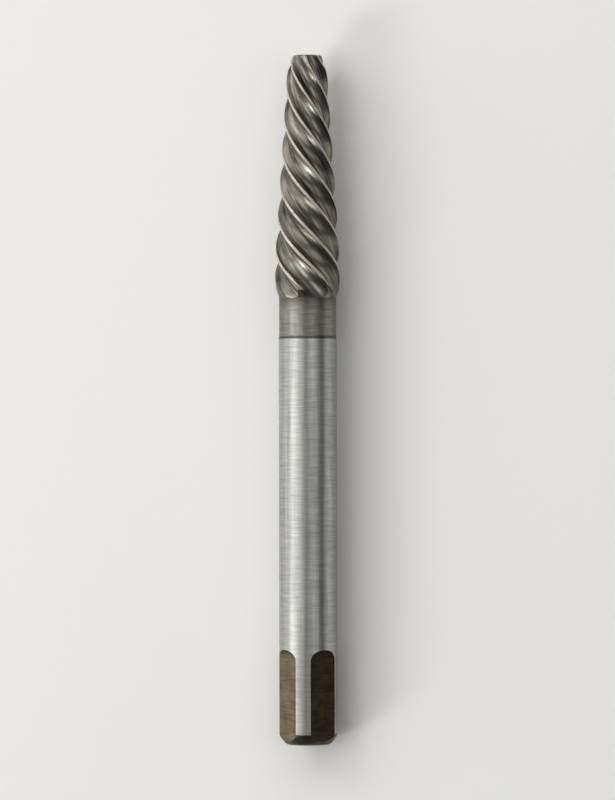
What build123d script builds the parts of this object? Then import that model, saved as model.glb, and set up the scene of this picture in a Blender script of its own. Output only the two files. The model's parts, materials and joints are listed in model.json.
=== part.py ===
from build123d import *

import math
import os

# Screw extractor with left-hand spiral flutes, ground from one bar of tool steel.
# It is built standing on its square drive end, tip up, and laid down at the end.
# Lengths are in millimetres, angles in degrees, and heights start at the drive end.

# The whole tool
overall_length = 60.3

# The ground shank, and the neck above it that the grinding wheel leaves alone
shank_diameter = 5.08
shank_top = 35.65
shank_step_length = 0.15
neck_diameter = 5.0
drive_chamfer_length = 0.8
drive_chamfer_depth = 0.6
drive_edge_radius = 0.5

# The square that a tap wrench holds, milled on the end of the shank
square_sides = 4
square_across_flats = 4.4
square_length = 8.9
milling_cutter_radius = 1.5

# The head: a cone that is widest near its back, then a slight back taper and a shoulder
head_diameter = 5.75
head_widest_height = 42.0
tip_diameter = 3.3
back_taper_length = 2.25
back_taper_depth = 0.1
shoulder_length = 0.65
tip_chamfer_length = 1.3
tip_chamfer_depth = 0.42
tip_edge_radius = 0.25

# The flutes, which keep their depth while the cone shrinks
flute_count = 6
flute_lead = 17.35
flute_depth = 0.56
land_angle = 7.0
flank_angle = 11.0
flute_bottom_angle = 26.0
crest_angle_at_widest = 29.0
sections_per_turn = 12

# How far each cutter runs past the metal: along the tool, and outwards as shares of the radius
cutter_overrun = 1.0
cut_clearance = 0.3
floor_clearance = 0.075

# Which way round it lies: the angle about the axis that faces the floor, where two crests carry it
floor_angle = 127.6

shank_radius = shank_diameter / 2
neck_radius = neck_diameter / 2
head_radius = head_diameter / 2
tip_radius = tip_diameter / 2
cone_slope = (head_radius - tip_radius) / (overall_length - head_widest_height)
pitch_angle = 360 / flute_count
tip_face_radius = tip_radius - tip_chamfer_depth
tip_chamfer_slope = tip_chamfer_depth / tip_chamfer_length + cone_slope


def crest_radius(height):
    """Radius of the cone that the crests follow, carried on past both of its ends."""
    return head_radius - cone_slope * (height - head_widest_height)


def crest_angle(height):
    """Where one crest stands at a height: it falls as the height grows, a left-hand spiral."""
    return crest_angle_at_widest - 360 * (height - head_widest_height) / flute_lead


def polar(radius, angle):
    """Point at an angle about the tool's axis."""
    return Vector(radius, 0).rotate(Axis.Z, angle)


# The grinding wheel leaves a hollow floor, an arc about a point out beyond its lowest line
floor_reach = math.radians(pitch_angle - land_angle / 2 - flute_bottom_angle)
foot_angle = land_angle / 2 + flank_angle
foot_spread = math.radians(flute_bottom_angle - foot_angle)


def flute_corners(crest):
    """One flute's cut for a crest radius: flank foot, floor bottom, floor top, cut top and flank top."""
    bottom = crest - flute_depth
    arc_distance = (crest**2 - bottom**2) / (2 * (crest * math.cos(floor_reach) - bottom))
    arc_radius = arc_distance - bottom

    # The foot of the steep flank lies on the floor's arc, and the flank goes up to the crest's land
    foot_sag = math.sqrt(arc_radius**2 - (arc_distance * math.sin(foot_spread)) ** 2)
    foot_radius = arc_distance * math.cos(foot_spread) - math.copysign(foot_sag, arc_distance)
    flank_foot = polar(foot_radius, foot_angle)
    land_edge = polar(crest, land_angle / 2)

    # The cut is carried on past the lands, so that it is closed outside the metal
    flank_top = land_edge + (land_edge - flank_foot) * cut_clearance
    top_radius = crest * (1 + floor_clearance)
    top_cosine = (top_radius**2 + arc_distance**2 - arc_radius**2) / (2 * top_radius * arc_distance)
    return (
        flank_foot,
        polar(bottom, flute_bottom_angle),
        polar(top_radius, flute_bottom_angle + math.degrees(math.acos(top_cosine))),
        polar(crest * (1 + cut_clearance), pitch_angle / 2),
        flank_top,
    )


# Heights between which the flutes are ground: from just past where they run out behind the head
shoulder_foot = head_widest_height - back_taper_length - shoulder_length
neck_runout = head_widest_height - (neck_radius + flute_depth - head_radius) / cone_slope
flute_start = min(neck_runout, shoulder_foot) - cutter_overrun
flute_end = overall_length + cutter_overrun
section_count = math.ceil(sections_per_turn * (flute_end - flute_start) / flute_lead) + 1

# What the wheel takes out for one flute, lofted through sections that turn and close in to the tip
with BuildPart() as flute_cut:
    for section in range(section_count):
        height = flute_start + (flute_end - flute_start) * section / (section_count - 1)
        flank_foot, floor_bottom, floor_top, cut_top, flank_top = flute_corners(crest_radius(height))
        with BuildSketch(Plane.XY.offset(height).rotated((0, 0, crest_angle(height)))):
            with BuildLine():
                ThreePointArc(flank_foot, floor_bottom, floor_top)
                Polyline(floor_top, cut_top, flank_top, flank_foot)
            make_face()
    loft()

# The turned blank: shank, neck and head
with BuildPart() as ground_tool:
    with BuildSketch(Plane.XZ) as blank_profile:
        with BuildLine():
            Polyline(
                (0, 0),
                (shank_radius - drive_chamfer_depth, 0),
                (shank_radius, drive_chamfer_length),
                (shank_radius, shank_top - shank_step_length),
                (neck_radius, shank_top),
                (neck_radius, shoulder_foot),
                (head_radius - back_taper_depth, head_widest_height - back_taper_length),
                (head_radius, head_widest_height),
                (tip_radius, overall_length),
                (0, overall_length),
                close=True,
            )
        make_face()
        corner_rows = blank_profile.vertices().group_by(Axis.Y)
        fillet(corner_rows[0].sort_by(Axis.X)[-1:] + corner_rows[1], drive_edge_radius)
    revolve(axis=Axis.Z)

    # The flutes, ground one after the other around the head
    with PolarLocations(0, flute_count):
        add(flute_cut.part, mode=Mode.SUBTRACT)

    # The tip, chamfered and rounded once it is fluted: all that lies outside this form goes
    with BuildSketch(Plane.XZ) as tip_profile:
        with BuildLine():
            Polyline(
                (0, -overall_length),
                (head_diameter, -overall_length),
                (head_diameter, overall_length - (head_diameter - tip_face_radius) / tip_chamfer_slope),
                (tip_face_radius, overall_length),
                (0, overall_length),
                close=True,
            )
        make_face()
        fillet(tip_profile.vertices().group_by(Axis.Y)[-1].sort_by(Axis.X)[-1], tip_edge_radius)
    revolve(axis=Axis.Z, mode=Mode.INTERSECT)

# What the milling cutter takes off one side of the square, with the round of the cutter's edge
with BuildPart() as milled_side:
    with BuildSketch(Plane.XZ) as side_profile:
        with Locations((square_across_flats / 2, square_length)):
            Rectangle(shank_diameter, square_length + cutter_overrun, align=(Align.MIN, Align.MAX))
        fillet(side_profile.vertices().group_by(Axis.Y)[-1].sort_by(Axis.X)[0], milling_cutter_radius)
    extrude(amount=shank_diameter, both=True)

with BuildPart() as finished_tool:
    add(ground_tool.part)
    with PolarLocations(0, square_sides):
        add(milled_side.part, mode=Mode.SUBTRACT)

# At rest a land of the square carries one end, where the round of the drive end begins on it,
# and a crest on the cone carries the other
drive_chamfer_angle = math.atan2(drive_chamfer_depth, drive_chamfer_length)
land_start = drive_chamfer_length + drive_edge_radius * math.tan(drive_chamfer_angle / 2)
crest_turn = (crest_angle_at_widest - floor_angle) % pitch_angle - land_angle / 2
crest_contact = head_widest_height + flute_lead * crest_turn / 360
nose_up = math.atan2(crest_radius(crest_contact) - shank_radius, crest_contact - land_start)
axis_height = shank_radius * math.cos(nose_up) - land_start * math.sin(nose_up)
lying_down = math.degrees(nose_up) - 90

# The tool as it lies: along Y with its tip at +Y, and its middle over the origin
with BuildPart() as screw_extractor:
    with Locations((0, -overall_length / 2 * math.cos(nose_up), axis_height)):
        add(finished_tool.part.rotate(Axis.Z, 90 - floor_angle).rotate(Axis.X, lying_down))

screw_extractor.part.label = "screw_extractor"
os.makedirs("parts", exist_ok=True)
export_step(screw_extractor.part, "parts/screw_extractor.step")
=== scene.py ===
import json
import math

import bmesh
import bpy
from mathutils import Matrix, Vector


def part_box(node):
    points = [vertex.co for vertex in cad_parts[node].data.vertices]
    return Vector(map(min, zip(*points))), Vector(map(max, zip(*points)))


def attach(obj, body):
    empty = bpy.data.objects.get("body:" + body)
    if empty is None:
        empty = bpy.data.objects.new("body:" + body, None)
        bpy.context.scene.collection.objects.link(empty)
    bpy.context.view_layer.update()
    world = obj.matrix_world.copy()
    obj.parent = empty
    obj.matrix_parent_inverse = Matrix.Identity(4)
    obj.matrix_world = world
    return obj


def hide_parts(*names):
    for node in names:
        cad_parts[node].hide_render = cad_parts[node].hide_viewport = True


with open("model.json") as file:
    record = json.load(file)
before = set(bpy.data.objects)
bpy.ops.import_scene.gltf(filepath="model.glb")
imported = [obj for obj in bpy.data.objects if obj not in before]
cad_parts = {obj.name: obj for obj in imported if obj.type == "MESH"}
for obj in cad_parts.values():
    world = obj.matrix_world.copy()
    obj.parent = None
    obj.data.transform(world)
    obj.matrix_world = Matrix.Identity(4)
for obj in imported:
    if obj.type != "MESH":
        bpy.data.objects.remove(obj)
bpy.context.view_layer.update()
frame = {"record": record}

# The screw extractor is one piece of tool steel. It can't stand, so it lies on a land of its square
# and on two crests of its head. It is made upright on its drive end, as on the lathe, and laid down
# when it is done: the record's mounts say where that end goes and which way the square faces.
MM = 0.001

mounts = {mount["name"]: mount for mount in frame["record"]["mounts"]}
towards_tip = -Vector(mounts["drive_end"]["axis"])
flat_normal = Vector(mounts["square_flat_a"]["axis"])
lying = Matrix((flat_normal, towards_tip.cross(flat_normal), towards_tip)).transposed().to_4x4()
lying.translation = Vector(mounts["drive_end"]["pos_m"])

# All of its surfaces are the same hardened steel, a dense grey metal with no coating. What sets them
# apart is the tool that cut them: a wheel leaves fine bright grooves, a lathe or a mill dull ones,
# and oil and heat darken what is not ground afterwards. So each surface is given its two shades, its
# roughness, and the grain of its grooves and of its stains in turns per millimetre of x, y and z. Real
# grooves lie some 0.03 mm apart, which is too fine to show, so they are drawn at 0.1 to 0.2 mm.
GRAIN = {"Scale": 1.0, "Detail": 3.0, "Roughness": 0.6}
SHADE_RANGE = {"From Min": 0.75, "From Max": 1.25}
GLOSS_RANGE = {"From Min": 0.3, "From Max": 0.7}
GLOSS_SPREAD = 0.15


def linear(hex_colour):
    """An sRGB hex colour as the linear values that Blender's sockets take."""
    channels = [int(hex_colour[i : i + 2], 16) / 255 for i in (1, 3, 5)]
    return [c / 12.92 if c <= 0.04045 else ((c + 0.055) / 1.055) ** 2.4 for c in channels] + [1.0]


def add_node(material, kind, inputs=None, **settings):
    """Adds a node to a material with its settings, and with values or links on its inputs."""
    node = material.node_tree.nodes.new(kind)
    for name, value in settings.items():
        setattr(node, name, value)
    for name, value in (inputs or {}).items():
        if isinstance(value, bpy.types.NodeSocket):
            material.node_tree.links.new(value, node.inputs[name])
        else:
            node.inputs[name].default_value = value
    return node


def new_material(name):
    """An empty material with nodes."""
    material = bpy.data.materials.new(name)
    material.use_nodes = True
    material.node_tree.nodes.clear()
    return material


def steel(name, shades, roughness, grooves, groove_depth, stains, twist=None, stretch=0.0, dark_bands=()):
    """One surface of the tool. A twist turns its grooves with the flutes and shrinks them to the tip,
    a stretch draws its highlights out along the tool, as grooves that run round it do, and each row of
    dark_bands is the height, reach, unevenness and colour of a dark band painted round it."""
    material = new_material(name)
    place = lying.inverted()
    coordinates = add_node(material, "ShaderNodeTexCoord")
    upright = add_node(
        material,
        "ShaderNodeMapping",
        {
            "Vector": coordinates.outputs["Object"],
            "Location": place.translation / MM,
            "Rotation": place.to_euler(),
            "Scale": (1 / MM, 1 / MM, 1 / MM),
        },
    )
    point = upright.outputs["Vector"]
    height_mm = add_node(material, "ShaderNodeSeparateXYZ", {"Vector": point}).outputs["Z"]
    if twist:
        turn = add_node(
            material, "ShaderNodeMath", {0: height_mm, 1: twist["turn_per_mm"]}, operation="MULTIPLY"
        )
        unwound = add_node(
            material,
            "ShaderNodeVectorRotate",
            {"Vector": point, "Angle": turn.outputs[0]},
            rotation_type="Z_AXIS",
        )
        crest = add_node(
            material,
            "ShaderNodeMath",
            {0: height_mm, 1: -twist["slope"], 2: twist["foot_radius_mm"]},
            operation="MULTIPLY_ADD",
        )
        share = add_node(material, "ShaderNodeMath", {0: 1.0, 1: crest.outputs[0]}, operation="DIVIDE")
        shares = add_node(
            material, "ShaderNodeCombineXYZ", {"X": share.outputs[0], "Y": share.outputs[0], "Z": 1.0}
        )
        evened = add_node(
            material,
            "ShaderNodeVectorMath",
            {0: unwound.outputs["Vector"], 1: shares.outputs["Vector"]},
            operation="MULTIPLY",
        )
        point = evened.outputs["Vector"]
    groove_point = add_node(material, "ShaderNodeMapping", {"Vector": point, "Scale": grooves})
    groove = add_node(
        material, "ShaderNodeTexNoise", {"Vector": groove_point.outputs["Vector"], **GRAIN}
    ).outputs["Fac"]
    stain_point = add_node(material, "ShaderNodeMapping", {"Vector": point, "Scale": stains})
    stain = add_node(
        material, "ShaderNodeTexNoise", {"Vector": stain_point.outputs["Vector"], **GRAIN}
    ).outputs["Fac"]
    both = add_node(material, "ShaderNodeMath", {0: groove, 1: stain}, operation="ADD")
    shade = add_node(material, "ShaderNodeMapRange", {"Value": both.outputs[0], **SHADE_RANGE})
    colour = add_node(
        material,
        "ShaderNodeMix",
        {0: shade.outputs["Result"], 6: linear(shades[0]), 7: linear(shades[1])},
        data_type="RGBA",
    ).outputs[2]
    for band_height, reach, unevenness, band_colour in dark_bands:
        above = add_node(material, "ShaderNodeMath", {0: height_mm, 1: band_height}, operation="SUBTRACT")
        away = add_node(material, "ShaderNodeMath", {0: above.outputs[0]}, operation="ABSOLUTE")
        edge = add_node(
            material,
            "ShaderNodeMath",
            {0: stain, 1: unevenness, 2: reach - unevenness / 2},
            operation="MULTIPLY_ADD",
        )
        outside_band = add_node(
            material, "ShaderNodeMapRange", {"Value": away.outputs[0], "From Max": edge.outputs[0]}
        )
        colour = add_node(
            material,
            "ShaderNodeMix",
            {0: outside_band.outputs["Result"], 6: linear(band_colour), 7: colour},
            data_type="RGBA",
        ).outputs[2]
    gloss = add_node(
        material,
        "ShaderNodeMapRange",
        {
            "Value": groove,
            **GLOSS_RANGE,
            "To Min": roughness * (1 + GLOSS_SPREAD),
            "To Max": roughness * (1 - GLOSS_SPREAD),
        },
    )
    bump = add_node(
        material, "ShaderNodeBump", {"Height": groove, "Strength": 1.0, "Distance": groove_depth * MM}
    )
    tool_axis = add_node(material, "ShaderNodeCombineXYZ", dict(zip("XYZ", towards_tip)))
    shader = add_node(
        material,
        "ShaderNodeBsdfPrincipled",
        {
            "Base Color": colour,
            "Metallic": 1.0,
            "Roughness": gloss.outputs["Result"],
            "Anisotropic": stretch,
            "Tangent": tool_axis.outputs["Vector"],
            "Normal": bump.outputs["Normal"],
        },
    )
    add_node(material, "ShaderNodeOutputMaterial", {"Surface": shader.outputs["BSDF"]})
    return material


def pick(piece, kind, wanted):
    """Selects those vertices, edges or faces of the piece being edited that a test picks out."""
    bpy.ops.mesh.select_mode(type=kind)
    bpy.ops.mesh.select_all(action="DESELECT")
    mesh = bmesh.from_edit_mesh(piece.data)
    for element in {"VERT": mesh.verts, "EDGE": mesh.edges, "FACE": mesh.faces}[kind]:
        element.select_set(wanted(element))
    mesh.select_flush_mode()
    bmesh.update_edit_mesh(piece.data)


def surface(piece, material, wanted):
    """Gives a material to those faces of the piece being edited that a test picks out."""
    if material.name not in piece.data.materials:
        piece.data.materials.append(material)
    pick(piece, "FACE", wanted)
    piece.active_material_index = piece.data.materials.find(material.name)
    bpy.ops.object.material_slot_assign()


def apply_modifier(piece, kind, **settings):
    """Gives the piece one modifier with these settings and applies it."""
    modifier = piece.modifiers.new(kind.title(), kind)
    for name, value in settings.items():
        setattr(modifier, name, value)
    bpy.context.view_layer.objects.active = piece
    bpy.ops.object.modifier_apply(modifier=modifier.name)


# The blank is a round bar, turned between centres to the shank, the neck and the back of the head,
# and its shank is then ground. Above its widest place the head is left oversize, because the fluting
# gives it its cone. Each row of its outline is a height, a radius and the rings of faces up to there.
OVERALL_LENGTH = 60.3 * MM
SHANK_RADIUS = 2.54 * MM
SHANK_TOP = 35.65 * MM
SHANK_STEP_LENGTH = 0.15 * MM
NECK_RADIUS = 2.5 * MM
DRIVE_CHAMFER_LENGTH = 0.8 * MM
DRIVE_CHAMFER_DEPTH = 0.6 * MM
DRIVE_EDGE_RADIUS = 0.5 * MM
HEAD_RADIUS = 2.875 * MM
HEAD_WIDEST_HEIGHT = 42.0 * MM
TIP_RADIUS = 1.65 * MM
BACK_TAPER_LENGTH = 2.25 * MM
BACK_TAPER_DEPTH = 0.1 * MM
SHOULDER_LENGTH = 0.65 * MM
TIP_CHAMFER_LENGTH = 1.3 * MM
TIP_CHAMFER_DEPTH = 0.42 * MM
TIP_EDGE_RADIUS = 0.25 * MM
LATHE_FACETS = 240
EDGE_SEGMENTS = 6
HAIR = MM / 100

cone_slope = (HEAD_RADIUS - TIP_RADIUS) / (OVERALL_LENGTH - HEAD_WIDEST_HEIGHT)
tip_face_radius = TIP_RADIUS - TIP_CHAMFER_DEPTH
tip_chamfer_slope = TIP_CHAMFER_DEPTH / TIP_CHAMFER_LENGTH + cone_slope
drive_chamfer_angle = math.atan2(DRIVE_CHAMFER_DEPTH, DRIVE_CHAMFER_LENGTH)
back_taper_slope = BACK_TAPER_DEPTH / BACK_TAPER_LENGTH
chamfer_at_widest = tip_face_radius + tip_chamfer_slope * (OVERALL_LENGTH - HEAD_WIDEST_HEIGHT)
oversize_rise = (chamfer_at_widest - HEAD_RADIUS) / (tip_chamfer_slope + back_taper_slope)
tip_zone = 1.5 * TIP_CHAMFER_LENGTH
shoulder_foot = HEAD_WIDEST_HEIGHT - BACK_TAPER_LENGTH - SHOULDER_LENGTH
turned_outline = [
    (DRIVE_CHAMFER_LENGTH, SHANK_RADIUS, 1),
    (SHANK_TOP - SHANK_STEP_LENGTH, SHANK_RADIUS, 1),
    (SHANK_TOP, NECK_RADIUS, 1),
    (shoulder_foot - SHOULDER_LENGTH, NECK_RADIUS, 1),
    (shoulder_foot, NECK_RADIUS, 6),
    (shoulder_foot + SHOULDER_LENGTH, HEAD_RADIUS - BACK_TAPER_DEPTH, 6),
    (HEAD_WIDEST_HEIGHT, HEAD_RADIUS, 40),
    (HEAD_WIDEST_HEIGHT + oversize_rise, HEAD_RADIUS + back_taper_slope * oversize_rise, 1),
    (OVERALL_LENGTH - tip_zone, tip_face_radius + tip_chamfer_slope * tip_zone, 1),
    (OVERALL_LENGTH - TIP_EDGE_RADIUS, tip_face_radius + tip_chamfer_slope * TIP_EDGE_RADIUS, 30),
    (OVERALL_LENGTH, tip_face_radius, 1),
]
height = 0.0
radius = SHANK_RADIUS - DRIVE_CHAMFER_DEPTH
bpy.ops.object.select_all(action="DESELECT")
bpy.ops.mesh.primitive_circle_add(vertices=LATHE_FACETS, radius=radius, fill_type="NGON")
tool = bpy.context.object
tool.name = "screw_extractor_tool"
bpy.ops.object.mode_set(mode="EDIT")
for next_height, next_radius, rings in turned_outline:
    rise = (next_height - height) / rings
    swell = (next_radius - radius) / rings
    for ring in range(rings):
        bpy.ops.mesh.extrude_region_move(TRANSFORM_OT_translate={"value": (0, 0, rise)})
        height += rise
        growth = (radius + swell) / radius
        bpy.ops.transform.resize(value=(growth, growth, 1), center_override=(0, 0, height))
        radius += swell
for edge_height, edge_radius, turn in (
    (OVERALL_LENGTH, TIP_EDGE_RADIUS, math.atan(1 / tip_chamfer_slope)),
    (DRIVE_CHAMFER_LENGTH, DRIVE_EDGE_RADIUS, drive_chamfer_angle),
    (0, DRIVE_EDGE_RADIUS, math.pi / 2 - drive_chamfer_angle),
):
    pick(tool, "EDGE", lambda edge: all(abs(v.co.z - edge_height) < HAIR for v in edge.verts))
    bpy.ops.mesh.bevel(offset=edge_radius * math.tan(turn / 2), segments=EDGE_SEGMENTS)
bpy.ops.mesh.select_all(action="SELECT")
bpy.ops.mesh.normals_make_consistent(inside=False)

# The shank is centreless ground: a satin silver grey with grooves round it, which draw its highlights
# out along it, and faint bright streaks along it, where it was drawn through the wheels.
surface(
    tool,
    steel(
        "ground_steel_shank",
        ("#9c9c98", "#bebeb8"),
        0.45,
        (0.5, 0.5, 9.0),
        0.0006,
        (2.8, 2.8, 0.12),
        stretch=0.75,
    ),
    lambda face: face.calc_center_median().z < SHANK_TOP - SHANK_STEP_LENGTH,
)

# The neck is left as it was turned and hardened: matte, a little darker, and stained. A thin dark line
# painted at the foot of its step is painted shade, the shadow in that corner, and the neck is painted
# darker in an uneven band below the head.
surface(
    tool,
    steel(
        "turned_steel_neck",
        ("#78786f", "#9a9991"),
        0.5,
        (0.5, 0.5, 11.0),
        0.001,
        (2.0, 2.0, 0.4),
        stretch=0.75,
        dark_bands=((SHANK_TOP / MM, 0.16, 0.6, "#45423e"), (shoulder_foot / MM, 1.0, 3.0, "#62605a")),
    ),
    lambda face: SHANK_TOP - SHANK_STEP_LENGTH < face.calc_center_median().z < shoulder_foot,
)

# Both ends are turned too, and black from hardening: the drive end with its chamfer, and the face of
# the tip, which gets its surface when the head has its own.
drive_round_end = DRIVE_CHAMFER_LENGTH + DRIVE_EDGE_RADIUS * math.tan(drive_chamfer_angle / 2)
end_steel = steel(
    "turned_steel_ends", ("#3c3934", "#55524b"), 0.42, (0.8, 0.8, 8.0), 0.002, (1.5, 1.5, 1.5)
)
surface(tool, end_steel, lambda face: face.calc_center_median().z < drive_round_end)
bpy.ops.object.mode_set(mode="OBJECT")

# The flutes are ground with a wheel along a left-hand spiral, as deep at the tip as at the back. Their
# section is drawn once, half-way up the head, wound up as one fluted bar, and the bar is then drawn in
# towards the tip. What the bar and the blank have in common is the fluted blank.
FLUTE_COUNT = 6
FLUTE_LEAD = 17.35 * MM
FLUTE_DEPTH = 0.56 * MM
LAND_ANGLE = 7.0
FLANK_ANGLE = 11.0
FLUTE_BOTTOM_ANGLE = 26.0
CREST_ANGLE_AT_WIDEST = 29.0
CREST_END = 40.0 * MM
CREST_FADE = 1.0 * MM
FLOOR_STEPS = 22
FLANK_STEPS = 5
LAND_STEPS = 4
LAND_EDGE_ROUND = 0.03 * MM
FLANK_FOOT_ROUND = 0.12 * MM
CORNER_SEGMENTS = 4
TURN_SPACING = 0.1 * MM
BAR_START = 37.4 * MM
BAR_OVERRUN = 1.0 * MM
SLEEVE_GROWTH = 1.3
SPECK = MM / 1000


def polar(distance, angle):
    """Point at a distance from the tool's axis, at an angle in degrees."""
    return Vector((distance * math.cos(math.radians(angle)), distance * math.sin(math.radians(angle)), 0))


def crest_angle(height):
    """Where one crest stands at a height, in degrees: a left-hand spiral."""
    return CREST_ANGLE_AT_WIDEST - 360 * (height - HEAD_WIDEST_HEIGHT) / FLUTE_LEAD


pitch_angle = 360 / FLUTE_COUNT
section_height = (HEAD_WIDEST_HEIGHT + OVERALL_LENGTH) / 2
section_radius = (HEAD_RADIUS + TIP_RADIUS) / 2
bottom_radius = section_radius - FLUTE_DEPTH
floor_reach = math.radians(pitch_angle - LAND_ANGLE / 2 - FLUTE_BOTTOM_ANGLE)
arc_distance = (section_radius**2 - bottom_radius**2) / (
    2 * (section_radius * math.cos(floor_reach) - bottom_radius)
)
arc_radius = arc_distance - bottom_radius
foot_angle = LAND_ANGLE / 2 + FLANK_ANGLE
foot_spread = math.radians(FLUTE_BOTTOM_ANGLE - foot_angle)
foot_sag = math.sqrt(arc_radius**2 - (arc_distance * math.sin(foot_spread)) ** 2)
arc_centre = polar(arc_distance, FLUTE_BOTTOM_ANGLE)
flank_foot = polar(arc_distance * math.cos(foot_spread) - foot_sag, foot_angle)
floor_top = polar(section_radius, pitch_angle - LAND_ANGLE / 2)
land_edge = polar(section_radius, LAND_ANGLE / 2)

bpy.ops.object.select_all(action="DESELECT")
bpy.ops.mesh.primitive_plane_add(size=MM)
bar = bpy.context.object
bar.name = "fluted_bar"
bpy.ops.object.mode_set(mode="EDIT")
bpy.ops.mesh.select_mode(type="VERT")
bpy.ops.mesh.merge(type="CENTER")
bpy.ops.transform.translate(value=flank_foot)
bpy.ops.mesh.spin(
    steps=FLOOR_STEPS,
    angle=(flank_foot - arc_centre).angle(floor_top - arc_centre),
    center=arc_centre,
    axis=(0, 0, 1),
)
pick(bar, "VERT", lambda vertex: (vertex.co - flank_foot).length < SPECK)
for step in range(FLANK_STEPS):
    bpy.ops.mesh.extrude_vertices_move(
        TRANSFORM_OT_translate={"value": (land_edge - flank_foot) / FLANK_STEPS}
    )
bpy.ops.mesh.spin(steps=LAND_STEPS, angle=math.radians(LAND_ANGLE), center=(0, 0, 0), axis=(0, 0, 1))
for corner, rounding in ((flank_foot, FLANK_FOOT_ROUND), (land_edge, LAND_EDGE_ROUND)):
    pick(bar, "VERT", lambda vertex: (vertex.co - corner).length < SPECK)
    bpy.ops.mesh.bevel(offset=rounding, segments=CORNER_SEGMENTS, affect="VERTICES")
bpy.ops.mesh.select_all(action="SELECT")
bpy.ops.mesh.spin(
    steps=FLUTE_COUNT - 1,
    dupli=True,
    angle=math.radians(360 - pitch_angle),
    center=(0, 0, 0),
    axis=(0, 0, 1),
)
bpy.ops.mesh.select_all(action="SELECT")
bpy.ops.mesh.remove_doubles(threshold=SPECK)
bpy.ops.transform.rotate(
    value=-math.radians(crest_angle(BAR_START)), orient_axis="Z", center_override=(0, 0, 0)
)
bpy.ops.transform.translate(value=(0, 0, BAR_START))
bpy.ops.object.mode_set(mode="OBJECT")

bar_end = OVERALL_LENGTH + BAR_OVERRUN
bar_length = bar_end - BAR_START
apply_modifier(
    bar,
    "SCREW",
    axis="Z",
    screw_offset=bar_length,
    angle=-2 * math.pi * bar_length / FLUTE_LEAD,
    steps=round(bar_length / TURN_SPACING),
    render_steps=round(bar_length / TURN_SPACING),
    use_merge_vertices=False,
)
for vertex in bar.data.vertices:
    vertex.co.xy *= 1 + cone_slope * (section_height - vertex.co.z) / vertex.co.xy.length
bpy.ops.object.mode_set(mode="EDIT")
pick(bar, "VERT", lambda vertex: vertex.co.z > bar_end - HAIR)
bpy.ops.mesh.edge_face_add()

# Behind the head the bar widens into a sleeve round the neck and the shank, so that they stay whole.
pick(bar, "VERT", lambda vertex: vertex.co.z < BAR_START + HAIR)
bpy.ops.mesh.extrude_region_move(TRANSFORM_OT_translate={"value": (0, 0, -SHOULDER_LENGTH)})
bpy.ops.transform.resize(value=(SLEEVE_GROWTH, SLEEVE_GROWTH, 1), center_override=(0, 0, 0))
bpy.ops.mesh.extrude_region_move(TRANSFORM_OT_translate={"value": (0, 0, -BAR_START)})
bpy.ops.mesh.edge_face_add()
bpy.ops.mesh.select_all(action="SELECT")
bpy.ops.mesh.normals_make_consistent(inside=False)

# The wheel leaves the flutes a dull dark grey, with grooves that wind along them and oil in them.
crest_radius_at_foot = HEAD_RADIUS + cone_slope * HEAD_WIDEST_HEIGHT
flute_steel = steel(
    "ground_steel_flutes",
    ("#3a3832", "#9c988c"),
    0.34,
    (9.0, 9.0, 0.05),
    0.02,
    (3.0, 3.0, 0.4),
    twist={
        "turn_per_mm": 2 * math.pi / (FLUTE_LEAD / MM),
        "slope": cone_slope,
        "foot_radius_mm": crest_radius_at_foot / MM,
    },
)
surface(bar, flute_steel, lambda face: True)


def on_land(face):
    """Whether a face of the fluted bar lies on the crests' cone."""
    return all(
        v.co.xy.length > crest_radius_at_foot - cone_slope * v.co.z - LAND_EDGE_ROUND / 2 for v in face.verts
    )


def on_crest(face):
    """Whether a face of the blank lies on the path of a crest, down to where it fades on the shoulder."""
    middle = face.calc_center_median()
    past_crest = math.degrees(math.atan2(middle.y, middle.x)) - crest_angle(middle.z)
    off_crest = (past_crest + pitch_angle / 2) % pitch_angle - pitch_angle / 2
    return abs(off_crest) < LAND_ANGLE / 2 * min(1, (middle.z - CREST_END) / CREST_FADE)


# The lands between them are what is left of the ground cone. They rub bright on whatever they touch.
land_steel = steel(
    "rubbed_steel_lands", ("#bab6a8", "#d2cebf"), 0.65, (0.6, 0.6, 9.0), 0.001, (1.0, 1.0, 1.0)
)
surface(bar, land_steel, on_land)
bpy.ops.object.mode_set(mode="OBJECT")

# The wheel streaks the back of the head too, where it runs out, and the chamfer of the tip, and the
# crests are bright there as well.
bpy.context.view_layer.objects.active = tool
bpy.ops.object.mode_set(mode="EDIT")
surface(tool, flute_steel, lambda face: face.calc_center_median().z > shoulder_foot)
surface(tool, land_steel, on_crest)
surface(tool, end_steel, lambda face: face.calc_center_median().z > OVERALL_LENGTH - HAIR)
bpy.ops.object.mode_set(mode="OBJECT")
apply_modifier(
    tool, "BOOLEAN", operation="INTERSECT", object=bar, solver="EXACT", material_mode="TRANSFER"
)
bpy.data.objects.remove(bar)

# The square at the drive end takes a tap wrench. A cutter with a rounded edge mills its four flats
# along the shank, so each flat ends in an arch, and the shank is left as a narrow land between them.
SQUARE_SIDES = 4
SQUARE_ACROSS_FLATS = 4.4 * MM
SQUARE_LENGTH = 8.9 * MM
CUTTER_RADIUS = 1.5 * MM
CUTTER_SIZE = 6.0 * MM
CUTTER_OVERRUN = 1.0 * MM
ARCH_SEGMENTS = 20
WELD = MM / 500
SMOOTH_ANGLE = 24

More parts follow.
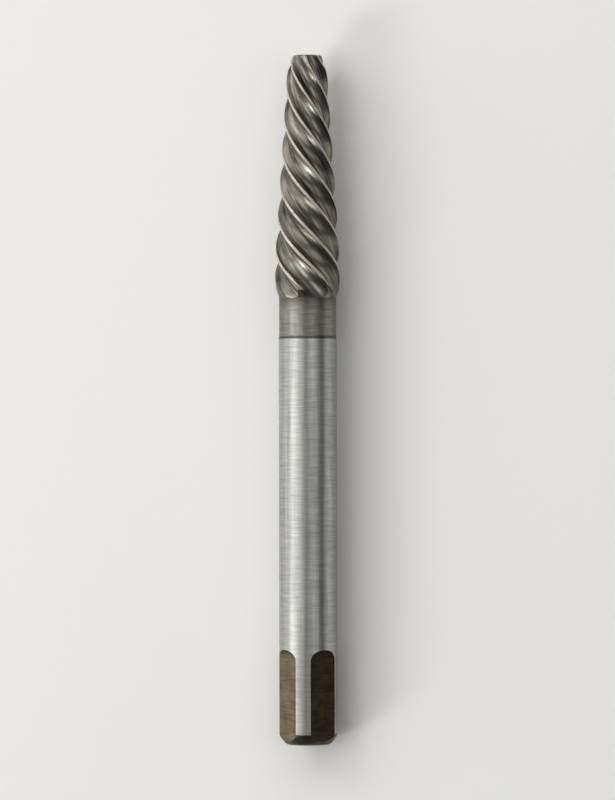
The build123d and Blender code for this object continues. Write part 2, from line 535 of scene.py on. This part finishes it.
bpy.ops.object.select_all(action="DESELECT")
bpy.ops.mesh.primitive_cube_add(
    size=1,
    scale=(CUTTER_SIZE, CUTTER_SIZE, SQUARE_LENGTH + CUTTER_OVERRUN),
    location=((SQUARE_ACROSS_FLATS + CUTTER_SIZE) / 2, 0, (SQUARE_LENGTH - CUTTER_OVERRUN) / 2),
)
cutter = bpy.context.object
cutter.name = "milling_cutter"
bpy.ops.object.transform_apply(location=True, rotation=True, scale=True)
bpy.ops.object.mode_set(mode="EDIT")
pick(
    cutter,
    "EDGE",
    lambda edge: all(v.co.z > SQUARE_LENGTH - HAIR and v.co.x < SQUARE_ACROSS_FLATS for v in edge.verts),
)
bpy.ops.mesh.bevel(offset=CUTTER_RADIUS, segments=ARCH_SEGMENTS)

# Two opposite flats are milled at a time. They are left dull, with marks across them. One pair is a lit
# copy, painted brown with a warm painted reflection, and the other a shaded copy, painted nearly black
# as painted shade. A near-black band at their rounded tops is painted shade, for the dark rounding of
# the cutter's arch.
arch_painted_shade = ((SQUARE_LENGTH / MM - 0.5, 0.75, 0.6, "#0e0c0a"),)
lit_and_shaded_flat_steels = [
    steel(name, shades, 0.42, (0.5, 0.5, 5.0), 0.004, (1.2, 1.2, 0.9), dark_bands=arch_painted_shade)
    for name, shades in (
        ("milled_steel_flats_painted_shade", ("#352d21", "#4e4433")),
        ("milled_steel_flats_painted_light", ("#5b503f", "#7c7059")),
    )
]
surface(cutter, lit_and_shaded_flat_steels[0], lambda face: True)
bpy.ops.object.mode_set(mode="OBJECT")
for side in range(SQUARE_SIDES):
    cutter.data.materials[0] = lit_and_shaded_flat_steels[side % 2]
    apply_modifier(
        tool, "BOOLEAN", operation="DIFFERENCE", object=cutter, solver="EXACT", material_mode="TRANSFER"
    )
    cutter.data.transform(Matrix.Rotation(2 * math.pi / SQUARE_SIDES, 4, "Z"))
bpy.data.objects.remove(cutter)

# The finished tool is cleaned of the specks that the cuts leave, and laid down.
bpy.context.view_layer.objects.active = tool
bpy.ops.object.mode_set(mode="EDIT")
bpy.ops.mesh.select_all(action="SELECT")
bpy.ops.mesh.remove_doubles(threshold=WELD)
bpy.ops.mesh.dissolve_degenerate(threshold=SPECK)
bpy.ops.object.mode_set(mode="OBJECT")
bpy.ops.object.material_slot_remove_unused()
tool.matrix_world = lying
bpy.ops.object.select_all(action="DESELECT")
tool.select_set(True)
bpy.ops.object.transform_apply(location=True, rotation=True, scale=True)
bpy.ops.object.shade_smooth_by_angle(angle=math.radians(SMOOTH_ANGLE))
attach(tool, "root")
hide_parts("screw_extractor")

# The tool lies on a plain sheet of pale matte paper, which takes its shadow and is wide enough to
# fill every view.
FLOOR_SIZE = 3.0

bpy.ops.mesh.primitive_plane_add(size=FLOOR_SIZE)
floor = bpy.context.object
floor.name = "floor"
sheet = new_material("pale_matte_paper")
sheet_shader = add_node(
    sheet,
    "ShaderNodeBsdfPrincipled",
    {"Base Color": linear("#ecebe8"), "Roughness": 0.8, "Specular IOR Level": 0.2},
)
add_node(sheet, "ShaderNodeOutputMaterial", {"Surface": sheet_shader.outputs["BSDF"]})
floor.data.materials.append(sheet)

# The camera looks down on it with the tip up in the picture, from the side that shows the same land
# of the square as the photograph does.
VIEW_TILT = math.radians(18)
VIEW_HEIGHT = 70 * MM
LENS = 240
SENSOR = 36

along = Vector((0, 1, 0))
towards_camera = Vector((math.sin(VIEW_TILT), 0, math.cos(VIEW_TILT)))
across = along.cross(towards_camera)
lowest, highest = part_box("screw_extractor")
middle = (lowest + highest) / 2
camera_data = bpy.data.cameras.new("camera")
camera_data.lens = LENS
camera_data.sensor_width = SENSOR
camera = bpy.data.objects.new("camera", camera_data)
bpy.context.collection.objects.link(camera)
camera.matrix_world = (
    Matrix.Translation(middle + towards_camera * VIEW_HEIGHT * LENS / SENSOR)
    @ Matrix((across, along, towards_camera)).transposed().to_4x4()
)
bpy.context.scene.camera = camera

# A soft box stands on the left and lights the shank, with a small bright one below it that gives each
# flute its spark. Weaker ones fill in from the left, from above the tip and from the right. Each row
# is the degrees to the right of the camera and towards the tip at which the tool sees the box, its
# distance, its width and length, and its radiance.
WORLD_LEVEL = 0.08
SOFT_BOXES = {
    "key": (-45, 0, 0.5, 0.48, 0.24, 2.15),
    "spot": (-75, -29, 0.5, 0.12, 0.12, 13.0),
    "top": (-18, 52, 0.5, 0.8, 0.45, 1.3),
    "corner": (-65, 32, 0.5, 0.36, 0.26, 1.8),
    "low": (-80, -38, 0.5, 0.3, 0.22, 2.0),
    "side": (-97, 0, 0.8, 0.25, 0.8, 1.5),
    "fill": (24, 0, 0.6, 0.44, 0.3, 1.15),
}

world = bpy.data.worlds.new("studio")
world.use_nodes = True
world.node_tree.nodes["Background"].inputs["Color"].default_value = (WORLD_LEVEL, WORLD_LEVEL, WORLD_LEVEL, 1)
bpy.context.scene.world = world
for name, (right, tipwards, distance, width, length, radiance) in SOFT_BOXES.items():
    right, tipwards = math.radians(right), math.radians(tipwards)
    level = towards_camera * math.cos(right) + across * math.sin(right)
    direction = level * math.cos(tipwards) + along * math.sin(tipwards)
    box_data = bpy.data.lights.new(name, "AREA")
    box_data.shape = "RECTANGLE"
    box_data.size = width
    box_data.size_y = length
    box_data.energy = radiance * math.pi * width * length
    box = bpy.data.objects.new(name, box_data)
    bpy.context.collection.objects.link(box)
    width_way = along.cross(direction).normalized()
    box.matrix_world = (
        Matrix.Translation(middle + direction * distance)
        @ Matrix((width_way, direction.cross(width_way), direction)).transposed().to_4x4()
    )

bpy.context.scene.view_settings.view_transform = "Standard"
